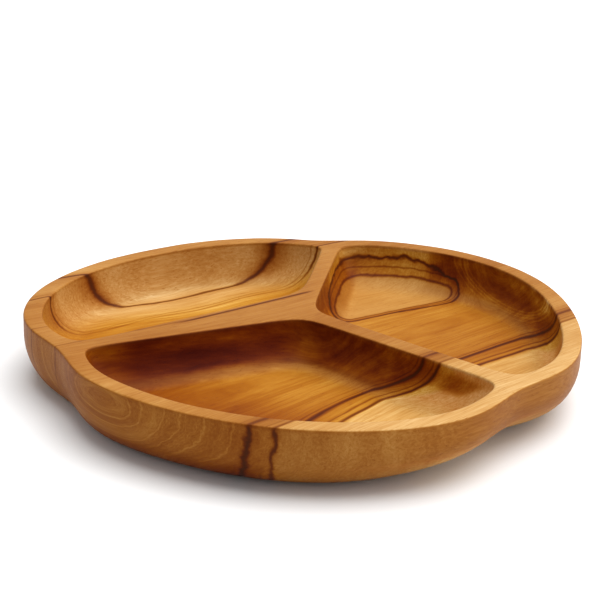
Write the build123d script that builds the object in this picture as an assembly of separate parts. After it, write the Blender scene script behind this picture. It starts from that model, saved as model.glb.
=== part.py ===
from build123d import *
import os
from math import atan2, cos, degrees, exp, hypot, log, radians, remainder, sin

# A three-lobed divided serving bowl, carved from a slab of six teak staves glued edge to edge.
# Millimetres and degrees. +Z is up, -Y faces the viewer, bearings turn from +X towards +Y.
# The rim is carved about the hub of the dividers, and the finished bowl is then centred on its base.

# Heights
BOWL_HEIGHT = 37.0
FLOOR_THICKNESS = 13.0
UPRIGHT_BAND = 10.0

# Rim seen from above: a round that swells over each pocket and nips in at each divider
RIM_RADIUS = 145.0
RIM_WIDTH = 10.5
EDGE_ROUND = 1.2
# for each of the three: bearing of its middle, how far it stands out or in, angle over which it fades
LOBE_BEARINGS = (43.0, 175.0, 297.5)
LOBE_HEIGHTS = (13.0, 10.5, 10.0)
LOBE_FADE_ANGLES = (31.5, 33.0, 47.5)
NOTCH_BEARINGS = (87.5, 205.0, 318.0)
NOTCH_DEPTHS = (6.5, 8.5, 11.0)
NOTCH_FADE_ANGLES = (11.0, 12.5, 14.0)

# Underside: the wall curves in from the upright band to a smaller flat base
UNDERCUT = 23.0
BASE_TURN_ANGLE = 80.0
# for each of the three: bearing of its middle, extra undercut there, angle over which it fades
SCOOP_BEARINGS = (87.5, 202.0, 310.0)
SCOOP_DEPTHS = (8.0, -8.0, 29.0)
SCOOP_FADE_ANGLES = (22.0, 35.0, 23.0)

# Dividers in this order: bearing, where the middle line starts near the hub, width at the hub and at the rim
BACK, LEFT_FRONT, RIGHT_FRONT = range(3)
DIVIDER_BEARINGS = (82.2, 212.3, 319.0)
DIVIDER_STARTS_X = (-1.8, 0.0, 0.0)
DIVIDER_STARTS_Y = (15.0, 19.3, 4.0)
HUB_WIDTHS = (9.8, 36.0, 12.1)
DIVIDER_WIDTHS = (9.8, 11.0, 12.1)
DIVIDER_LENGTH = 125.0

# Pockets: softness of their corners, how far their middles lie from the hub, run-in of the coved wall
POCKET_SIDES = ((RIGHT_FRONT, BACK), (BACK, LEFT_FRONT), (LEFT_FRONT, RIGHT_FRONT))
CORNER_EASE = 5.0
MIDDLE_REACH = 78.0
COVE_WIDTH = 18.0
FLOOR_TURN_ANGLE = 86.0

# Staves, named from the front right to the rear left, and the glue lines between them
STAVES = (
    "front_right_edge_stave",
    "front_right_stave",
    "front_middle_stave",
    "rear_middle_stave",
    "rear_left_stave",
    "rear_left_edge_stave",
)
GRAIN_BEARING = 45.0
GLUE_LINES = (-96.0, -46.0, 4.0, 54.0, 104.0)

# Where the closed outlines start, and how finely the carved curves are followed
RIM_START_BEARING = 100.0
POCKET_START_BEARING = 45.0
BEARING_STEP = 10
POCKET_STEP = 6
CURVE_STEPS = 6
REACH_TOLERANCE = 0.001


def swell(bearing, middles, heights, fade_angles):
    """Sum of what soft features stand out at a bearing."""
    total = 0.0
    for middle, height, fade_angle in zip(middles, heights, fade_angles):
        apart = remainder(bearing - middle, 360)
        total += height * exp(-((apart / fade_angle) ** 2))
    return total


def along(bearing, reach):
    return Vector(reach * cos(radians(bearing)), reach * sin(radians(bearing)))


def bearings_round(start, step):
    """Bearings of a whole turn."""
    return [start + turned for turned in range(0, 360, step)]


def smooth_face(points, z):
    """A level face inside a closed smooth curve through the points."""
    return Pos(0, 0, z) * make_face(Spline(points, periodic=True))


def ring(radius_at, z):
    """A level face about the hub whose radius is given for each bearing."""
    bearings = bearings_round(RIM_START_BEARING, BEARING_STEP)
    return smooth_face([along(b, radius_at(b)) for b in bearings], z)


def rim_radius(bearing):
    lobes = swell(bearing, LOBE_BEARINGS, LOBE_HEIGHTS, LOBE_FADE_ANGLES)
    notches = swell(bearing, NOTCH_BEARINGS, NOTCH_DEPTHS, NOTCH_FADE_ANGLES)
    return RIM_RADIUS + lobes - notches


def undercut(bearing):
    return UNDERCUT + swell(bearing, SCOOP_BEARINGS, SCOOP_DEPTHS, SCOOP_FADE_ANGLES)


def elliptical_curve(last_turn):
    """Share of the run-in and share of the drop, along an ellipse that starts upright."""
    turns = [radians(last_turn * step / CURVE_STEPS) for step in range(CURVE_STEPS + 1)]
    run_in, fall = 1 - cos(turns[-1]), sin(turns[-1])
    return [((1 - cos(turn)) / run_in, sin(turn) / fall) for turn in turns]


def outer_body():
    """The dish without its pockets: an upright band that curves in to the base."""
    drop = BOWL_HEIGHT - UPRIGHT_BAND
    sections = [ring(rim_radius, BOWL_HEIGHT), ring(rim_radius, BOWL_HEIGHT - UPRIGHT_BAND / 2)]
    for run_in, fall in elliptical_curve(BASE_TURN_ANGLE):
        def radius_at(bearing, share=run_in):
            return rim_radius(bearing) - share * undercut(bearing)
        sections.append(ring(radius_at, drop * (1 - fall)))
    return loft(sections)


def divider_edge(divider, side):
    """Two points on one edge of a divider: at the hub and at the rim."""
    bearing = DIVIDER_BEARINGS[divider]
    across = along(bearing + 90, side)
    start = Vector(DIVIDER_STARTS_X[divider], DIVIDER_STARTS_Y[divider])
    end = start + along(bearing, DIVIDER_LENGTH)
    return start + across * (HUB_WIDTHS[divider] / 2), end + across * (DIVIDER_WIDTHS[divider] / 2)


def meeting_point(first, second):
    """Where two straight edges cross in plan."""
    p, q = first[0], second[0]
    u, v = first[1] - first[0], second[1] - second[0]
    gap = q - p
    travel = (gap.X * v.Y - gap.Y * v.X) / (u.X * v.Y - u.Y * v.X)
    return p + u * travel


def side_distance(point, edge):
    """How far a point lies to the left of a straight edge that runs from the hub to the rim."""
    run = (edge[1] - edge[0]).normalized()
    gap = point - edge[0]
    return run.X * gap.Y - run.Y * gap.X


def pocket_middle(near, far):
    """Where a pocket is deepest: on the middle line between its two straight sides."""
    apex = meeting_point(near, far)
    runs = [(edge[1] - edge[0]).normalized() for edge in (near, far)]
    return apex + (runs[0] + runs[1]).normalized() * MIDDLE_REACH


def wood_clearance(point, near, far):
    """Distance from a point in a pocket to the wood around it, eased where two sides meet."""
    bearing = degrees(atan2(point.Y, point.X))
    to_rim = rim_radius(bearing) - RIM_WIDTH - hypot(point.X, point.Y)
    gaps = (to_rim, side_distance(point, near), -side_distance(point, far))
    return -CORNER_EASE * log(sum(exp(-gap / CORNER_EASE) for gap in gaps))


def pocket_reach(middle, near, far, bearing):
    """How far a pocket's edge at the rim lies from its middle, found by halving the span."""
    inside, outside = 0.0, 2 * RIM_RADIUS
    while outside - inside > REACH_TOLERANCE:
        trial = (inside + outside) / 2
        if wood_clearance(middle + along(bearing, trial), near, far) > 0:
            inside = trial
        else:
            outside = trial
    return inside


def pocket(first, second):
    """The wood that is carved out of one pocket, with a wall that coves into the floor."""
    near = divider_edge(first, 1)
    far = divider_edge(second, -1)
    middle = pocket_middle(near, far)
    bearings = bearings_round(POCKET_START_BEARING, POCKET_STEP)
    reaches = [pocket_reach(middle, near, far, bearing) for bearing in bearings]
    shrink = COVE_WIDTH / (sum(reaches) / len(reaches))
    depth = BOWL_HEIGHT - FLOOR_THICKNESS
    sections = []
    for run_in, fall in elliptical_curve(FLOOR_TURN_ANGLE):
        points = [middle + along(b, r * (1 - shrink * run_in)) for b, r in zip(bearings, reaches)]
        sections.append(smooth_face(points, BOWL_HEIGHT - depth * fall))
    return loft(sections)


def carved_bowl():
    """The whole dish, with the edges of its rim and dividers eased."""
    bowl = outer_body()
    for first, second in POCKET_SIDES:
        bowl -= pocket(first, second)
    top_edges = bowl.edges().group_by(Axis.Z)[-1]
    return fillet(top_edges, EDGE_ROUND)


def ripped_staves(bowl):
    """The bowl parted along its glue lines, from the front right to the rear left."""
    across = along(GRAIN_BEARING + 90, 1)
    staves = []
    for line in GLUE_LINES:
        glue_face = Plane(origin=across * line, z_dir=across)
        staves.append(split(bowl, bisect_by=glue_face, keep=Keep.BOTTOM))
        bowl = split(bowl, bisect_by=glue_face, keep=Keep.TOP)
    return staves + [bowl]


os.makedirs("parts", exist_ok=True)
bowl = carved_bowl()
box = bowl.bounding_box()
centred_bowl = Pos(-box.center().X, -box.center().Y, 0) * bowl
for name, stave in zip(STAVES, ripped_staves(centred_bowl)):
    export_step(stave, f"parts/{name}.step")
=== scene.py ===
from math import asin, atan2, cos, degrees, exp, hypot, log, pi, radians, remainder, sin, sqrt

import bmesh
import bpy
import numpy as np
from mathutils import Matrix, Vector, kdtree, noise
from mathutils.geometry import delaunay_2d_cdt


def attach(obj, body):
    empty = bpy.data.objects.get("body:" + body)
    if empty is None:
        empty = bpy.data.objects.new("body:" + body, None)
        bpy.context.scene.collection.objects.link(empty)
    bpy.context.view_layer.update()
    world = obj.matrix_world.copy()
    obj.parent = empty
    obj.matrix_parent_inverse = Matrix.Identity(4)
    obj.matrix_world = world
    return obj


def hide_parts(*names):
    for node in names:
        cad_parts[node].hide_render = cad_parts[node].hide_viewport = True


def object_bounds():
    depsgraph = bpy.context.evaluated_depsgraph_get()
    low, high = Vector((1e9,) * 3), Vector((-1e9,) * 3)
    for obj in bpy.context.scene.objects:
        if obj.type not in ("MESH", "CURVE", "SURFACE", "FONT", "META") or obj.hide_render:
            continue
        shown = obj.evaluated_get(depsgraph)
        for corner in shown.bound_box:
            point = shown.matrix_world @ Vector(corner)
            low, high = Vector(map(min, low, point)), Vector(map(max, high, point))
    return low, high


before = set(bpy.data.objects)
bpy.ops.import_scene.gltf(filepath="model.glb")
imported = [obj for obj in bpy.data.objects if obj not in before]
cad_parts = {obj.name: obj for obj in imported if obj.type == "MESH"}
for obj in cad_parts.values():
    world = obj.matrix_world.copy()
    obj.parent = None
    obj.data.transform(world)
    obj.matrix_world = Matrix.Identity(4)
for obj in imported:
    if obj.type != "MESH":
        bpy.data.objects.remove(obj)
cad_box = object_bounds()

# The outside of the bowl: a teak slab sawn to three soft lobes, upright at the rim and spokeshaved under to
# a smaller flat base. Sizes are millimetres and degrees about the hub of the dividers, as the slab was
# marked out.
MM = 0.001
bowl_height = (cad_box[1].z - cad_box[0].z) / MM
upright_band = 10.0
edge_round = 1.2
rim_radius = 145.0
# for each of the three: bearing of its middle, how far it stands out, angle over which it fades
lobes = ((43.0, 13.0, 31.5), (175.0, 10.5, 33.0), (297.5, 10.0, 47.5))
notches = ((87.5, -6.5, 11.0), (205.0, -8.5, 12.5), (318.0, -11.0, 14.0))
undercut = 23.0
# for each of the three: bearing of its middle, how much deeper the undercut is, angle over which it fades
scoops = ((87.5, 8.0, 22.0), (202.0, -8.0, 35.0), (310.0, 29.0, 23.0))
base_turn = 80.0
steps_round = 480
edge_steps = 4
band_steps = 4
wall_steps = 16


def swell(bearing, features):
    """Sum of what soft features stand out at a bearing."""
    total = 0.0
    for middle, height, fade in features:
        total += height * exp(-((remainder(bearing - middle, 360) / fade) ** 2))
    return total


def rim_reach(bearing):
    return rim_radius + swell(bearing, lobes) + swell(bearing, notches)


def eased_edge():
    """Set-back and drop of each row of a rounded edge, from the level top to the upright wall."""
    turns = [pi / 2 * step / edge_steps for step in range(edge_steps + 1)]
    return [(edge_round * (1 - sin(turn)), edge_round * (1 - cos(turn))) for turn in turns]


def elliptical_curve(first_turn, last_turn, steps):
    """Share of the run-in and share of the drop, along an ellipse that starts upright."""
    turns = [radians(first_turn + (last_turn - first_turn) * step / steps) for step in range(steps + 1)]
    run_in, fall = 1 - cos(radians(last_turn)), sin(radians(last_turn))
    return [((1 - cos(turn)) / run_in, sin(turn) / fall) for turn in turns]


bearings = [360 * step / steps_round for step in range(steps_round)]
outline = [(rim_reach(b) * cos(radians(b)), rim_reach(b) * sin(radians(b))) for b in bearings]
centre_x = (min(x for x, y in outline) + max(x for x, y in outline)) / 2
centre_y = (min(y for x, y in outline) + max(y for x, y in outline)) / 2
bowl = bmesh.new()


def new_ring(points, drop):
    """A closed row of points at one depth below the rim, in the frame of the finished bowl."""
    level = (bowl_height - drop) * MM
    return [bowl.verts.new(((x - centre_x) * MM, (y - centre_y) * MM, level)) for x, y in points]


def join_rings(rings):
    """A skin of four-sided faces between each row and the next."""
    for upper, lower in zip(rings, rings[1:]):
        for here in range(len(upper)):
            bowl.faces.new((upper[here - 1], upper[here], lower[here], lower[here - 1]))


def wall_ring(set_back, undercut_share, drop):
    """A row of the outer wall, set back from the rim and undercut by a share."""
    reaches = [rim_reach(b) - set_back - undercut_share * (undercut + swell(b, scoops)) for b in bearings]
    return new_ring([(r * cos(radians(b)), r * sin(radians(b))) for b, r in zip(bearings, reaches)], drop)


outer_rings = [wall_ring(set_back, 0, drop) for set_back, drop in eased_edge()]
for step in range(1, band_steps):
    outer_rings.append(wall_ring(0, 0, edge_round + (upright_band - edge_round) * step / band_steps))
for run_in, fall in elliptical_curve(0, base_turn, wall_steps):
    outer_rings.append(wall_ring(0, run_in, upright_band + (bowl_height - upright_band) * fall))
join_rings(outer_rings)

# The three pockets: gouged out between the rim and the dividers, with upright sides that cove into a level
# floor and soft corners where two sides meet. Nothing is set in: the dividers are the wood left standing.
floor_thickness = 13.0
pocket_depth = bowl_height - floor_thickness
rim_width = 10.5
# bearing, where the middle line starts near the hub, width at the hub, width at the rim
dividers = {
    "back": (82.2, (-1.8, 15.0), 9.8, 9.8),
    "left_front": (212.3, (0.0, 19.3), 36.0, 11.0),
    "right_front": (319.0, (0.0, 4.0), 12.1, 12.1),
}
divider_length = 125.0
pocket_sides = (("right_front", "back"), ("back", "left_front"), ("left_front", "right_front"))
corner_ease = 5.0
middle_reach = 78.0
cove_width = 18.0
floor_turn = 86.0
pocket_steps = 360
cove_steps = 18
halvings = 22


def divider_edge(name, side):
    """A point at the hub on one edge of a divider, and the way that the edge runs."""
    bearing, start, hub_width, rim_end_width = dividers[name]
    along = Vector((cos(radians(bearing)), sin(radians(bearing))))
    across = Vector((-along.y, along.x)) * side
    hub = Vector(start) + across * hub_width / 2
    end = Vector(start) + along * divider_length + across * rim_end_width / 2
    return hub, (end - hub).normalized()


def side_distance(point, edge):
    """How far a point lies to the left of an edge."""
    return edge[1].cross(point - edge[0])


def wood_clearance(point, near, far):
    """Distance from a point in a pocket to the wood around it, eased where two sides meet."""
    to_rim = rim_reach(degrees(atan2(point.y, point.x))) - rim_width - hypot(point.x, point.y)
    gaps = (to_rim, side_distance(point, near), -side_distance(point, far))
    return -corner_ease * log(sum(exp(-gap / corner_ease) for gap in gaps))


def pocket_reach(middle, near, far, way):
    """How far the pocket's edge lies from its middle in one direction, found by halving the span."""
    inside, outside = 0.0, 2 * rim_radius
    for _ in range(halvings):
        trial = (inside + outside) / 2
        if wood_clearance(middle + way * trial, near, far) > 0:
            inside = trial
        else:
            outside = trial
    return inside


def carve_pocket(first, second):
    """Makes the wall of one pocket; gives the rows at its top edge and at the edge of its floor."""
    near, far = divider_edge(first, 1), divider_edge(second, -1)
    apex = near[0] + near[1] * (far[1].cross(near[0] - far[0]) / near[1].cross(far[1]))
    middle = apex + (near[1] + far[1]).normalized() * middle_reach
    turns = [2 * pi * step / pocket_steps for step in range(pocket_steps)]
    ways = [Vector((cos(turn), sin(turn))) for turn in turns]
    reaches = [pocket_reach(middle, near, far, way) for way in ways]
    edge = [middle + way * reach for way, reach in zip(ways, reaches)]
    runs = [(edge[step + 1 - pocket_steps] - edge[step - 1]).normalized() for step in range(pocket_steps)]
    rings = []
    for set_back, drop in eased_edge():
        eased_row = [point + Vector((run.y, -run.x)) * set_back for point, run in zip(edge, runs)]
        rings.append(new_ring(eased_row, drop))
    shrink = cove_width / (sum(reaches) / pocket_steps)
    edge_turn = degrees(asin(edge_round / pocket_depth))
    for run_in, fall in elliptical_curve(edge_turn, floor_turn, cove_steps)[1:]:
        cove_row = [middle + way * reach * (1 - shrink * run_in) for way, reach in zip(ways, reaches)]
        rings.append(new_ring(cove_row, pocket_depth * fall))
    join_rings(rings)
    return rings[0], rings[-1]


pockets = [carve_pocket(first, second) for first, second in pocket_sides]

# The level faces: the top of the rim and dividers, the pocket floors and the base, planed and then sanded
# by hand. They close the carved walls into one solid, whose faces stay a little uneven from that work.
top_spacing = 3.0 * MM
floor_spacing = 4.0 * MM
base_spacing = 7.0 * MM
# share of the spacing that stays clear along the edges
edge_clearance = 0.6
same_place = 1e-9
# in metres: size and height of each wave of the hand finish, and below which level it fades out
hand_waves = ((0.045, 0.00028), (0.016, 0.00009))
base_fade = 0.010


def inside_loop(points, loop):
    """Which points lie inside a closed loop, by counting the edges to the right of each."""
    x, y = points[:, 0, None], points[:, 1, None]
    ax, ay = loop.T
    bx, by = np.roll(loop, -1, axis=0).T
    crosses = (ay > y) != (by > y)
    meets = ax + (y - ay) * (bx - ax) / np.where(by == ay, 1, by - ay)
    return np.sum(crosses & (x < meets), axis=1) % 2 == 1


def in_wood(points, loops):
    """Which points lie inside the first loop and outside the rest."""
    found = inside_loop(points, loops[0])
    for loop in loops[1:]:
        found &= ~inside_loop(points, loop)
    return found


def fill_level(rings, spacing):
    """Closes the level gap inside the first ring and outside the rest with even triangles."""
    loops = [np.array([vert.co[:2] for vert in ring]) for ring in rings]
    edges = []
    verts = []
    for ring in rings:
        first, count = len(verts), len(ring)
        edges += [(first + step, first + (step + 1) % count) for step in range(count)]
        verts += ring
    nearest = kdtree.KDTree(len(verts))
    for number, vert in enumerate(verts):
        nearest.insert(vert.co, number)
    nearest.balance()
    level = verts[0].co.z
    low, high = loops[0].min(axis=0), loops[0].max(axis=0)
    rows = np.arange(low[1], high[1], spacing * sqrt(3) / 2)
    columns = np.arange(low[0], high[0], spacing)
    grid = np.array([(x + (row % 2) * spacing / 2, y) for row, y in enumerate(rows) for x in columns])
    for x, y in grid[in_wood(grid, loops)]:
        if nearest.find((x, y, level))[2] > spacing * edge_clearance:
            verts.append(bowl.verts.new((x, y, level)))
    flat = [vert.co.to_2d() for vert in verts]
    points, _, triangles, sources, _, _ = delaunay_2d_cdt(flat, edges, [], 0, same_place)
    middles = [sum((points[corner] for corner in corners), Vector((0, 0))) / 3 for corners in triangles]
    for corners, kept in zip(triangles, in_wood(np.array(middles), loops)):
        if kept:
            bowl.faces.new([verts[sources[corner][0]] for corner in corners])


fill_level([outer_rings[0]] + [top_edge for top_edge, floor_edge in pockets], top_spacing)
for top_edge, floor_edge in pockets:
    fill_level([floor_edge], floor_spacing)
fill_level([outer_rings[-1]], base_spacing)
bmesh.ops.recalc_face_normals(bowl, faces=bowl.faces)
bowl.normal_update()
for vert, normal in [(vert, vert.normal.copy()) for vert in bowl.verts]:
    unevenness = sum(height * noise.noise(vert.co / size) for size, height in hand_waves)
    vert.co += normal * unevenness * min(1, vert.co.z / base_fade)
bowl.normal_update()

# The teak: one slab's figure runs on through every stave, sanded and oiled. Clear golden tones are deepened
# like tea: denser wood and painted shade are darker and redder, from the pale outer wood to the dark lines
# and pith.
# Places and widths are millimetres; the other numbers are shares of density and painted shade, or of the
# warm tone.
teak = bpy.data.materials.new("teak")
teak.use_nodes = True
pale_tone = (0.42, 0.217, 0.062, 1)
# A rosier tone, painted as the colour of shade on the pocket walls
shaded_wall_tone = (0.52, 0.225, 0.065, 1)
warm_tone = (0.40, 0.172, 0.016, 1)
line_tone = (0.050, 0.018, 0.004, 1)
grain_bearing = 45.0
grain_cos = cos(radians(grain_bearing))
grain_sin = sin(radians(grain_bearing))


class Field:
    """A socket of a material: sums and products of fields, or of a field and a number, add their nodes."""

    def __init__(self, tree, socket=None):
        self.tree = tree
        self.socket = socket

    def node(self, kind, settings=None, sockets=None, output=0):
        """One more node: its settings first, then the values or links of its sockets."""
        made = self.tree.nodes.new(kind)
        for name, value in (settings or {}).items():
            setattr(made, name, value)
        for name, value in (sockets or {}).items():
            if isinstance(value, Field):
                self.tree.links.new(value.socket, made.inputs[name])
            else:
                made.inputs[name].default_value = value
        return Field(self.tree, made.outputs[output])

    def math(self, operation, *values):
        return self.node("ShaderNodeMath", {"operation": operation}, dict(enumerate(values)))

    def __add__(self, other):
        return self.math("ADD", self, other)

    __radd__ = __add__

    def __sub__(self, other):
        return self.math("SUBTRACT", self, other)

    def __rsub__(self, other):
        return self.math("SUBTRACT", other, self)

    def __mul__(self, other):
        return self.math("MULTIPLY", self, other)

    __rmul__ = __mul__

    def __truediv__(self, other):
        return self.math("DIVIDE", self, other)

    def __rtruediv__(self, other):
        return self.math("DIVIDE", other, self)

    def __pow__(self, power):
        return self.math("POWER", self, power)

    def __abs__(self):
        return self.math("ABSOLUTE", self)

    def rise(self, low, high):
        """0 before low and 1 after high, with a smooth rise between them; low may lie above high."""
        ends = {"Value": self, "From Min": low, "From Max": high}
        return self.node("ShaderNodeMapRange", {"interpolation_type": "SMOOTHSTEP"}, ends)

    def line(self, place, width):
        """1 on a place, and fading to 0 about a width to each side."""
        apart = (self - place) * (1 / width)
        return self.math("EXPONENT", apart * apart * -1.0)


def speckle(vector, scale, detail=2.0, roughness=0.5, stretch=(1, 1, 1)):
    """Smooth noise about 0, from about -0.5 to 0.5, over a vector stretched by shares."""
    stretched = vector.node("ShaderNodeVectorMath", {"operation": "MULTIPLY"}, {0: vector, 1: stretch})
    sockets = {"Vector": stretched, "Scale": scale, "Detail": detail, "Roughness": roughness}
    return vector.node("ShaderNodeTexNoise", {}, sockets) - 0.5


# Where a point lies in the slab: along the grain, across it and below the rim
figure = Field(teak.node_tree)
place = figure.node("ShaderNodeTexCoord", output="Object")
place = figure.node("ShaderNodeVectorMath", {"operation": "SCALE"}, {0: place, "Scale": 1 / MM})
x, y, z = (figure.node("ShaderNodeSeparateXYZ", {}, {0: place}, axis) for axis in range(3))
along = x * grain_cos + y * grain_sin
across = y * grain_cos - x * grain_sin
depth = bowl_height - z
reach = (x * x + y * y) ** 0.5
grain = figure.node("ShaderNodeCombineXYZ", {}, {0: along, 1: across, 2: depth})

# Which face it lies on: the outer wall, the wall of a pocket, or the rim and the tops of the dividers
facing = figure.node("ShaderNodeTexCoord", output="Normal")
face_x, face_y, face_z = (figure.node("ShaderNodeSeparateXYZ", {}, {0: facing}, axis) for axis in range(3))
steep = abs(face_z).rise(0.95, 0.35)
outside = ((x * face_x + y * face_y) / reach).rise(0.4, 0.8) * reach.rise(50.0, 80.0) * steep
inner_wall = steep * (1 - outside)
rim_face = depth.rise(2.5, 0.5)
in_pocket = (1 - outside) * (1 - rim_face)

# Growth rings: sheets that lean in under the front right, slant across the rear left, and close round the
# pith between them, near the level of the rim. All are a little wavy.
rear_slant = 0.19
pith_place = -12.0
pith_height = 10.0
wave = speckle(grain, 0.03, 1.0, stretch=(0.5, 1, 1))
ripple = speckle(grain, 0.15, 2.0, stretch=(0.25, 1, 1))
# how far the front sheets lean in by the floor: more to the right, and more towards the heart
front_lean = 25.0 / (1 + figure.math("EXPONENT", (along + 90.0) * (-1 / 30.0)))
front_spread = (across + 70.0) * 0.27
sunk_share = depth.math("MAXIMUM", depth, 0.0) / pocket_depth
front = across - (front_lean + front_spread) * across.rise(-20.0, -60.0) * sunk_share ** 1.7
front = front - along.line(12.0, 70.0) * 4.0 + wave * 5.0 + ripple * (1.5 + outside * 3.5)
slant = across + along * rear_slant
rear = slant + along.line(8.0, 28.0) * 5.5 + wave * 4.0 + ripple * 2.5
rear_share = across.rise(-30.0, 50.0)
sheet_place = front * (1 - rear_share) + rear * rear_share
below_pith = (depth + pith_height - outside * 16.0) * (1 + outside * 0.7)
ring = ((sheet_place - pith_place) ** 2.0 + below_pith ** 2.0) ** 0.5

# Two ring sheets of the right pocket: they lie almost level there, climb its walls, and dip under the floor
# on the side of the pith. The wood under the lower one shows as a pale island on the floor.
back_bearing, (hub_x, hub_y), _, _ = dividers["back"]
right_of_hub = (x + (centre_x - hub_x)) * sin(radians(back_bearing))
behind_hub = (y + (centre_y - hub_y)) * cos(radians(back_bearing))
past_divider = right_of_hub - behind_hub
in_right_pocket = depth.rise(2.0, 5.0) * past_divider.rise(0.0, 3.0) * (1 - outside)


def level_sheet(level, dip_place, dip_length, dip, ripples, waves):
    """How far a point lies below a ring sheet that is level at one depth, but dips towards the pith."""
    dipped = figure.math("EXPONENT", (slant - dip_place) * (-1 / dip_length)) * dip
    return depth - level - dipped + ripple * ripples + wave * waves


lower_sheet = level_sheet(level=17.0, dip_place=43.0, dip_length=4.5, dip=3.0, ripples=2.0, waves=3.0)
upper_sheet = level_sheet(level=7.0, dip_place=53.0, dip_length=12.5, dip=4.1, ripples=6.0, waves=7.0)
inside_island = in_right_pocket * lower_sheet.rise(0.0, 1.5)

# Zones of the slab: pale sapwood at the front right, golden wood beside it, the dark heart, and paler wood
# again at the rear left. The sapwood and the rear are cool, the rest is warm, and the rim and the tops of
# the dividers are drawn less warm, as painted sheen.
sapwood = front.rise(-95.0, -98.0)
heart = sheet_place.rise(-100.0, -78.0) * sheet_place.rise(70.0, 42.0)
warm_front = (front + inner_wall * 8.0).rise(-100.0, -94.0)
warm_rear = (rear + along.rise(-40.0, -80.0) * 12.0 + inner_wall * 14.0).rise(127.0, 95.0)
warmth = warm_front * warm_rear * (1 - rim_face * 0.95) * (1 - outside * 0.75)
warmth += (1 - warm_front) * in_pocket * 0.4 + (1 - warm_rear) * inner_wall * 0.2
density_and_shade = 0.86 + (1 - sapwood) * 0.27 + front.rise(-88.0, -84.0) * 0.05 - sheet_place.rise(5.0, 45.0) * 0.08
# Painted light: on the steep walls the rear wood is drawn paler still.
density_and_shade -= rear.rise(85.0, 112.0) * (0.14 + steep * 0.08) + rear.rise(124.0, 130.0) * (1 - steep) * 0.12
# Painted shade: the outer wall is drawn darker, more on the sapwood and most towards the base.
density_and_shade += outside * (0.46 + sapwood * 0.22 + depth.rise(20.0, bowl_height) * 0.35)
# Painted light on the rim: darker towards the left, away from the light, and on its outer band darker at the
# back and lighter at the front.
outer_rim = rim_face * reach.rise(118.0, 135.0)
density_and_shade += rim_face * (x.rise(140.0, 10.0) * 0.22 + 0.04)
density_and_shade += outer_rim * (y.rise(40.0, 110.0) * 0.2 - y.rise(-40.0, -110.0) * 0.12)

# Dark heartwood on the steep walls of the pockets, with painted shade laid over it, most in the front
# pocket, in smears and, at the foot of the wall, in short dark strokes. The walls that face left at the rear
# are drawn paler, as painted light.
heart_and_wall_shade = 0.5 + along.rise(15.0, -15.0) * 0.8
heart_and_wall_shade -= along.rise(60.0, 110.0) * 0.25 + along.rise(-86.0, -106.0) * 0.95
heart_and_wall_shade -= depth.line(5.0, 3.5) * (along.line(-58.0, 32.0) * 0.65 + along.rise(60.0, 100.0) * 0.35)
heart_and_wall_shade += depth.line(13.0, 5.0) * (along.rise(0.0, -20.0) * 0.5 + along.rise(90.0, 120.0) * 0.35)
heart_and_wall_shade += across.line(28.0, 18.0) * along.rise(100.0, 130.0) * depth.rise(15.0, 6.0) * 1.2
foot = depth + speckle(grain, 0.05, 1.0, stretch=(1, 0.3, 0)) * 4.0
strokes = foot.line(18.3, 1.6) * along.line(-58.0, 20.0) + foot.line(20.8, 1.3) * along.line(-9.0, 9.0)
smears = speckle(grain, 0.07, 3.0, 0.6, (0.25, 1, 1.5))
density_and_shade += inner_wall * (heart * (heart_and_wall_shade + strokes * 1.6 + smears * 1.8) + (1 - sapwood) * 0.12)
# Painted light: the walls that face left at the rear are drawn paler.
density_and_shade -= inner_wall * sheet_place.rise(50.0, 80.0) * face_x.rise(0.0, -0.5) * 0.45

# Painted shade as a brown patch on the sapwood wall of the front pocket, a painted pale sheen where the
# heart's walls turn into the floor, and painted shade at the left end of the front pocket's floor
painted_sap_wall_shade = (depth - across.rise(-126.0, -104.0) * 9.0).rise(6.5, 1.5) * (0.3 + depth.rise(2.0, 6.5) * 0.7)
painted_sap_wall_shade *= across.line(-104.0, 20.0) * (0.15 + y.rise(0.0, -40.0) * 0.85) * in_pocket
density_and_shade += painted_sap_wall_shade * 0.8
warmth += painted_sap_wall_shade * 0.5
# Painted sheen: a greyer band along the foot of the heart's walls
painted_cove_sheen = heart * depth.line(21.5, 2.0) * (1 - outside)
density_and_shade += painted_cove_sheen * 0.2
warmth *= 1 - painted_cove_sheen * 0.75
# Painted shade at the left end of the front pocket's floor
painted_front_left_shade = along.rise(-30.0, -95.0) * across.rise(60.0, 20.0) * depth.rise(6.0, 16.0) * (1 - outside)
density_and_shade += painted_front_left_shade * (1 - inner_wall) * 0.7

# Streaks and fibres that follow the rings, cloudy patches, and short dark pores along the grain
ring_grain = figure.node("ShaderNodeCombineXYZ", {}, {0: along, 1: ring, 2: depth})
bands = speckle(ring_grain, 0.16, 3.0, 0.6, (0.05, 1, 0.15))
fibres = speckle(ring_grain, 1.1, 3.0, 0.65, (0.03, 1, 0.6))
clouds = speckle(grain, 0.022, 2.0, stretch=(0.5, 1, 1))
pores = speckle(grain, 2.2, 2.0, 0.6, (0.05, 1, 1)).rise(0.1, 0.24)
figured = (0.25 + warmth * 0.5 + outside * 0.3 + inner_wall * heart * 0.6) * (1 - inside_island * 0.7)
density_and_shade += bands * figured * 1.2 + fibres * 0.8 * (1 - inside_island * 0.5)
density_and_shade += clouds * (0.6 + inner_wall * heart) + pores * 0.5

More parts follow.
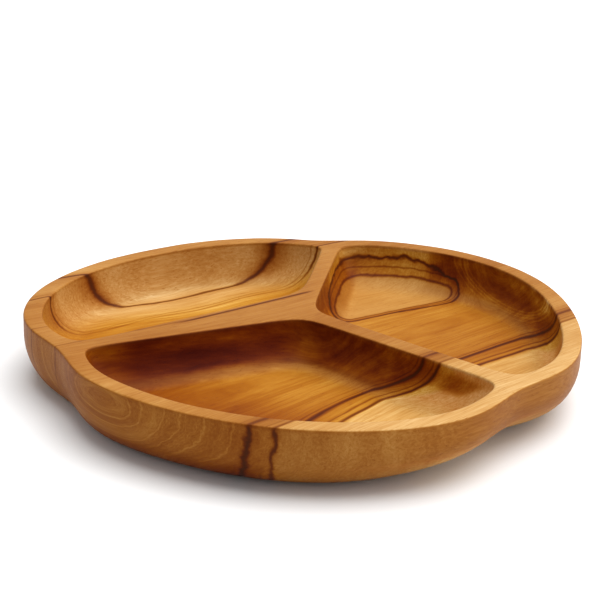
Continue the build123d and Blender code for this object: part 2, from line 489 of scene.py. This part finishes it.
# Thin pale rings: round the pith on the outside, and as flat arcs on the far wall of the right pocket
pith_rings = (14.0, 21.0, 34.0, 43.0, 55.0, 68.0)
arc_middle = -27.0
arc_half_width = 41.0
arc_drop = 19.3
arc_sizes = (0.93, 1.0, 1.06, 1.14)
pale_rings = sum(ring.line(radius, 0.6) for radius in pith_rings) * outside * 0.25
arc_side = (across - arc_middle + ripple * 3.0) / arc_half_width
flat_arc = (arc_side ** 2.0 + (depth / arc_drop) ** 2.0) ** 0.5
pale_arcs = sum(flat_arc.line(size, 0.016) for size in arc_sizes) + flat_arc.line(1.04, 0.1) * 0.5
density_and_shade -= pale_rings + pale_arcs * inner_wall * along.rise(70.0, 110.0) * 0.32

# The dark lines that stand out: two by the sapwood and two in the rear left pocket, most with a thin line
# beside them and a band of denser wood, painted shade along the edge of the left front divider, and two
# faint ones left
sap_line, gold_line = -96.0, -86.0
far_line, near_line = 126.5, 103.0
thin_line_gap = 3.5
band_offset = -1.0
boldness = speckle(grain, 0.03, 2.0, stretch=(0.5, 1, 1)).rise(-0.45, 0.0)
sap_lines = front.line(gold_line, 1.2) + front.line(sap_line, 0.8) * 0.8
sap_lines += front.line(sap_line, 1.4) * inner_wall * 0.3
thin_lines = front.line(gold_line + thin_line_gap, 0.5) * 0.3
thin_lines += front.line(sap_line + thin_line_gap, 0.5) * 0.35
sap_lines += thin_lines * (1 - outside)
near_place = rear - along * 0.035 + depth * along.rise(0.0, -60.0) * 0.3
rear_lines = rear.line(far_line, 0.9) * 0.8 + rear.line(far_line + 0.5, 2.0) * steep * 0.25
rear_lines += near_place.line(near_line, 0.8) * (0.2 + steep * 0.6 + rim_face * 0.4)
rear_lines += near_place.line(near_line + thin_line_gap, 0.4) * 0.2
left_lines = (rear.line(57.0, 0.8) + rear.line(28.0, 0.7)) * along.rise(-30.0, -60.0) * 0.25
# Painted shade: a dark line along the far edge of the left front divider's top
painted_divider_edge_shade = (across + along * 0.09).line(32.2, 0.9) * depth.rise(3.0, 1.0)
painted_divider_edge_shade *= along.rise(-62.0, -40.0) * along.rise(40.0, 28.0) * 0.8
dark_lines = (sap_lines * (1 - rim_face * 0.5) + rear_lines + left_lines) * boldness + painted_divider_edge_shade
density_and_shade += front.line(gold_line + band_offset, 6.0) * (0.2 + rim_face * 0.15)
density_and_shade += rear.line(far_line + band_offset, 4.5) * (0.2 + steep * 0.3)
density_and_shade += near_place.line(near_line + band_offset, 5.0) * steep * 0.4

# The island of the right pocket: dark lines where its ring sheets come out, pale wood inside the lower one,
# and painted shade at the foot of the wall beside the back divider
island_lines = lower_sheet.line(0.0, 0.7) * 0.6 + lower_sheet.line(-4.5, 0.5) * 0.35
island_lines += upper_sheet.line(0.0, 0.9) * 0.9
dark_lines += in_right_pocket * island_lines * (0.5 + boldness * 0.5)
density_and_shade += in_right_pocket * (lower_sheet.line(-2.5, 4.0) * 0.2 + upper_sheet.line(1.0, 2.5) * 0.3)
# Painted shade at the foot of the wall beside the back divider
painted_divider_foot_shade = past_divider.rise(18.0, 14.0) * y.rise(70.0, 92.0) * depth.rise(7.0, 10.0)
density_and_shade += in_right_pocket * (painted_divider_foot_shade * 0.35 - inner_wall * (1 - heart) * 0.1) - inside_island * 0.05
warmth *= (1 - in_right_pocket * upper_sheet.rise(-2.0, 1.0) * 0.1) * (1 - inside_island * 0.64)
density_and_shade += dark_lines * 1.5


def blend(share, under, over):
    """A colour, or a field of colours, laid over another by a share."""
    return share.node("ShaderNodeMix", {"data_type": "RGBA"}, {0: share, 6: under, 7: over}, output=2)


# The colour, and the finish: a low oil sheen, with fibres and open pores that can just be felt
least_density = 0.6
darkest_line = 0.8
surface_gloss = 0.05
relief_depth = 0.0003
cool_share = 1 - warm_front + (1 - warm_rear) * 0.25
# Painted shade: the upper pocket walls in the cool zones take the rosier shaded tone
painted_wall_shade = depth.rise(pocket_depth, 18.0) * in_pocket * cool_share
tone = blend(warmth, blend(painted_wall_shade, pale_tone, shaded_wall_tone), warm_tone)
deepening = density_and_shade.math("MAXIMUM", density_and_shade, least_density)
wood = figure.node("ShaderNodeGamma", {}, {"Color": tone, "Gamma": deepening})
wood = blend(dark_lines.math("MINIMUM", dark_lines * 0.5, darkest_line), wood, line_tone)
roughness = 0.44 + fibres * 0.1 + bands * 0.06
relief = {"Strength": 0.25, "Distance": relief_depth, "Height": fibres * 0.6 - pores}
bumps = figure.node("ShaderNodeBump", {}, relief)
shader = teak.node_tree.nodes["Principled BSDF"]
shader.inputs["Specular IOR Level"].default_value = surface_gloss
teak.node_tree.links.new(wood.socket, shader.inputs["Base Color"])
teak.node_tree.links.new(roughness.socket, shader.inputs["Roughness"])
teak.node_tree.links.new(bumps.socket, shader.inputs["Normal"])

# The six staves: teak boards glued edge to edge into the slab before it was carved, with the grain at an
# angle to the front. Each is the carved bowl between two glue lines, with flat glued faces that don't show.
stave_names = (
    "front_right_edge_stave",
    "front_right_stave",
    "front_middle_stave",
    "rear_middle_stave",
    "rear_left_stave",
    "rear_left_edge_stave",
)
glue_lines = (-96.0, -46.0, 4.0, 54.0, 104.0)
glue_way = Vector((-grain_sin, grain_cos, 0))
saw_tolerance = 1e-7
carved_normal = bowl.verts.layers.float_vector.new("carved_normal")
for vert in bowl.verts:
    vert[carved_normal] = vert.normal


def rip_along(stave, glue_line, **side):
    """Saws a copy of the bowl at a glue line, and closes the sawn face."""
    everything = stave.verts[:] + stave.edges[:] + stave.faces[:]
    saw = {"plane_co": glue_way * glue_line * MM, "plane_no": glue_way, "dist": saw_tolerance}
    bmesh.ops.bisect_plane(stave, geom=everything, **saw, **side)
    open_edges = [edge for edge in stave.edges if edge.is_boundary]
    sawn = bmesh.ops.holes_fill(stave, edges=open_edges, sides=0)["faces"]
    sawn = bmesh.ops.triangulate(stave, faces=sawn)["faces"]
    for face in sawn:
        face.smooth = False
    for edge in open_edges:
        edge.smooth = False


for face in bowl.faces:
    face.smooth = True
for name, near_glue, far_glue in zip(stave_names, (None, *glue_lines), (*glue_lines, None)):
    stave = bowl.copy()
    if near_glue is not None:
        rip_along(stave, near_glue, clear_inner=True)
    if far_glue is not None:
        rip_along(stave, far_glue, clear_outer=True)
    mesh = bpy.data.meshes.new(name)
    stave.to_mesh(mesh)
    stave.free()
    bowl_normals = [Vector(item.vector) for item in mesh.attributes["carved_normal"].data]
    normals = []
    for face in mesh.polygons:
        normals += [bowl_normals[corner] if face.use_smooth else face.normal for corner in face.vertices]
    mesh.normals_split_custom_set(normals)
    mesh.attributes.remove(mesh.attributes["carved_normal"])
    mesh.materials.append(teak)
    piece = bpy.data.objects.new("carved_" + name, mesh)
    bpy.context.collection.objects.link(piece)
    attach(piece, "root")
    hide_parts(name)
bowl.free()

# The studio floor: a plain sheet of white paper that the bowl stands on. It is laid flat, and is wide enough
# to fill the picture.
floor_half = 5.0
paper_white = (0.77, 0.77, 0.77, 1)
paper_roughness = 0.7
floor_mesh = bpy.data.meshes.new("floor")
corner_ways = ((-1, -1), (1, -1), (1, 1), (-1, 1))
corners = [(right * floor_half, back * floor_half, 0) for right, back in corner_ways]
floor_mesh.from_pydata(corners, [], [(0, 1, 2, 3)])
floor = bpy.data.objects.new("floor", floor_mesh)
bpy.context.collection.objects.link(floor)
paper = bpy.data.materials.new("white_paper")
paper.use_nodes = True
paper.node_tree.nodes["Principled BSDF"].inputs["Base Color"].default_value = paper_white
paper.node_tree.nodes["Principled BSDF"].inputs["Roughness"].default_value = paper_roughness
floor_mesh.materials.append(paper)

# The light: a very wide soft light above and a weaker one low on the right, such as large cloth screens
# give, in an even pale room.
room_strength = 0.56
# name, where it shines from, how wide it looks in degrees, strength
soft_lights = (
    ("soft_light_above", (0.25, 0.2, 1.0), 70, 4.0),
    ("soft_light_right", (1.0, -0.1, 0.45), 50, 0.9),
)
world = bpy.data.worlds.new("pale_room")
bpy.context.scene.world = world
world.use_nodes = True
world.node_tree.nodes["Background"].inputs["Color"].default_value = (1, 1, 1, 1)
world.node_tree.nodes["Background"].inputs["Strength"].default_value = room_strength
for name, source, width, strength in soft_lights:
    glow = bpy.data.lights.new(name, "SUN")
    glow.angle = radians(width)
    glow.energy = strength
    lamp = bpy.data.objects.new(name, glow)
    lamp.rotation_euler = (-Vector(source)).to_track_quat("-Z", "Y").to_euler()
    bpy.context.collection.objects.link(lamp)
bpy.context.scene.view_settings.view_transform = "Standard"

# The camera: a short telephoto lens about 0.9 m away, held almost level and looking down on the bowl at
# about 20 degrees. Its place and aim are millimetres from the hub of the dividers, at the level of the rim.
camera_distance = 873.0
camera_height_angle = 20.04
aim_point = Vector((-4.5, 25.4, 0))
roll = 0.03
focal_pixels = 1596.0
picture_pixels = 600.0
sensor_width = 36.0
raised = radians(camera_height_angle)
hub_at_rim = Vector((-centre_x, -centre_y, bowl_height))
eye = Vector((0, -cos(raised), sin(raised))) * camera_distance
forward = (aim_point - eye).normalized()
level_right = forward.cross(Vector((0, 0, 1))).normalized()
level_up = level_right.cross(forward)
right = level_right * cos(roll) + level_up * sin(roll)
up = level_up * cos(roll) - level_right * sin(roll)
lens = bpy.data.cameras.new("camera")
lens.sensor_width = sensor_width
lens.lens = focal_pixels / picture_pixels * sensor_width
camera = bpy.data.objects.new("camera", lens)
turned = Matrix((right, up, -forward)).transposed().to_4x4()
camera.matrix_world = Matrix.Translation((hub_at_rim + eye) * MM) @ turned
bpy.context.collection.objects.link(camera)
bpy.context.scene.camera = camera
